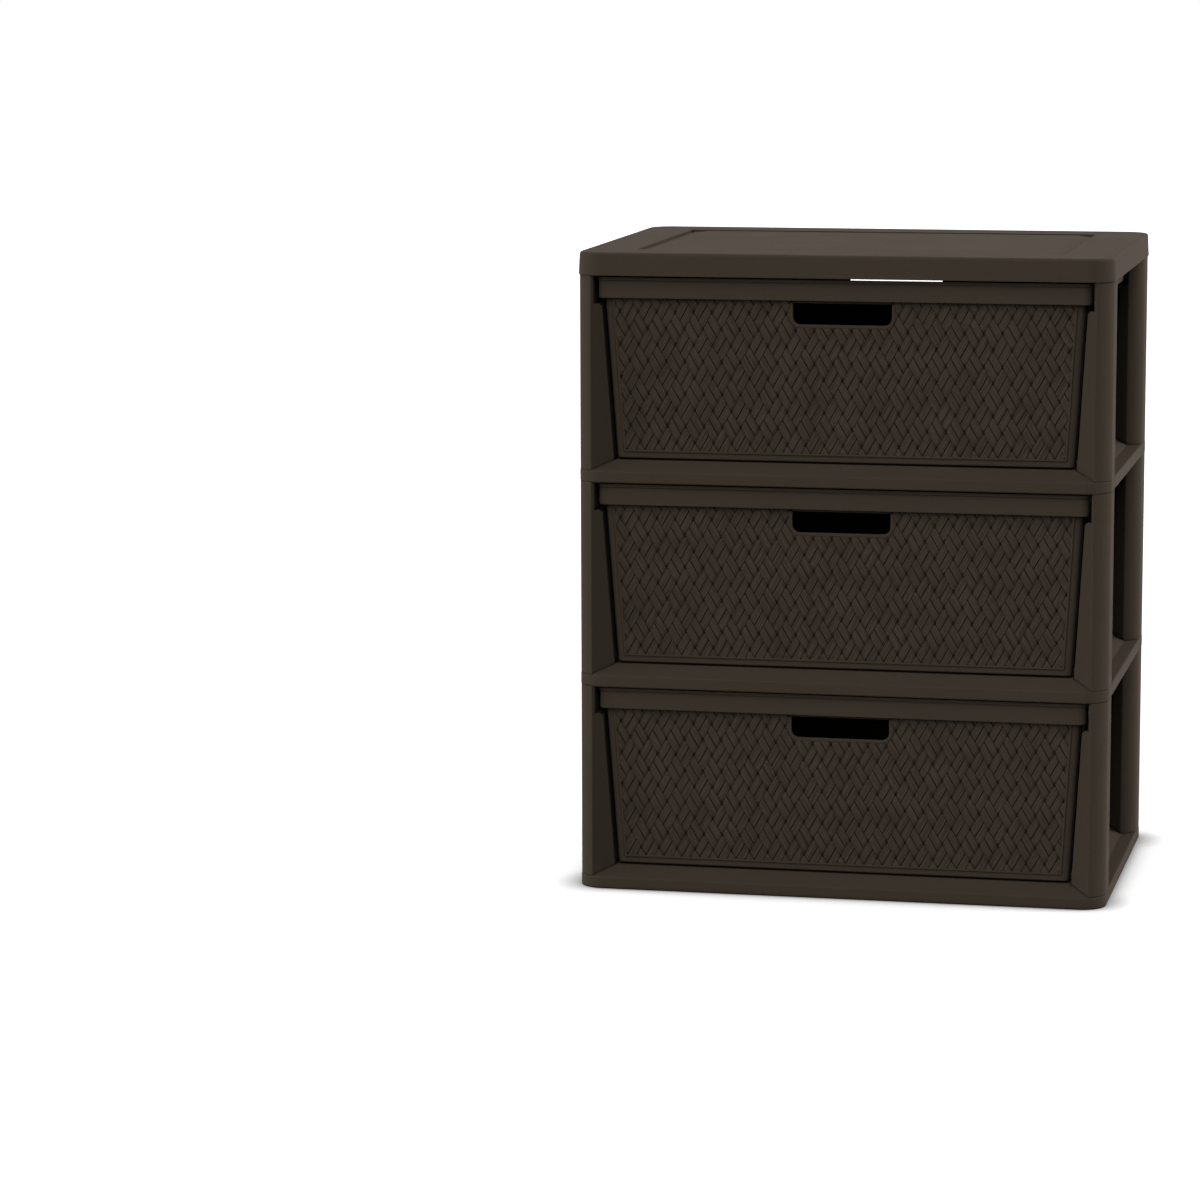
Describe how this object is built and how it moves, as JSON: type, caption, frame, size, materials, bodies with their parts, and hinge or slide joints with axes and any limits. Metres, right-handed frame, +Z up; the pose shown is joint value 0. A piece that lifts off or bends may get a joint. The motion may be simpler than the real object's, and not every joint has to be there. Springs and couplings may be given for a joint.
{
  "type": "plastic drawer tower",
  "caption": "Stacking storage tower: woven-look lift-in drawers with hand slots, on stepped frames held by open corner posts, under a flat moulded cover.",
  "frame": {"origin": "centre of the base frame's underside, on the surface that the tower stands on", "axes": "+Z up, -Y the front that the drawers come out of, +X to the right seen from the front"},
  "size_m": [0.5416, 0.3886, 0.652],
  "materials": {
    "frame_plastic": "fine-grained moulded polypropylene, dark brown, soft sheen",
    "drawer_plastic": "moulded polypropylene, dark brown, woven relief on the outer walls"
  },
  "bodies": {
    "tower": {"top_cover": "frame_plastic", "upper_frame": "frame_plastic", "lower_frame": "frame_plastic", "base_frame": "frame_plastic", "post_top_front_left": "frame_plastic", "post_top_front_right": "frame_plastic", "post_top_back_left": "frame_plastic", "post_top_back_right": "frame_plastic", "post_middle_front_left": "frame_plastic", "post_middle_front_right": "frame_plastic", "post_middle_back_left": "frame_plastic", "post_middle_back_right": "frame_plastic", "post_bottom_front_left": "frame_plastic", "post_bottom_front_right": "frame_plastic", "post_bottom_back_left": "frame_plastic", "post_bottom_back_right": "frame_plastic"},
    "top_drawer": {"drawer_top": "drawer_plastic"},
    "middle_drawer": {"drawer_middle": "drawer_plastic"},
    "bottom_drawer": {"drawer_bottom": "drawer_plastic"}
  },
  "joints": [
    {"name": "top_drawer_slide", "type": "slide", "parent": "tower", "child": "top_drawer", "axis": [0, -1, 0], "range_m": [0, 0.4]},
    {"name": "middle_drawer_slide", "type": "slide", "parent": "tower", "child": "middle_drawer", "axis": [0, -1, 0], "range_m": [0, 0.4]},
    {"name": "bottom_drawer_slide", "type": "slide", "parent": "tower", "child": "bottom_drawer", "axis": [0, -1, 0], "range_m": [0, 0.4]}
  ]
}
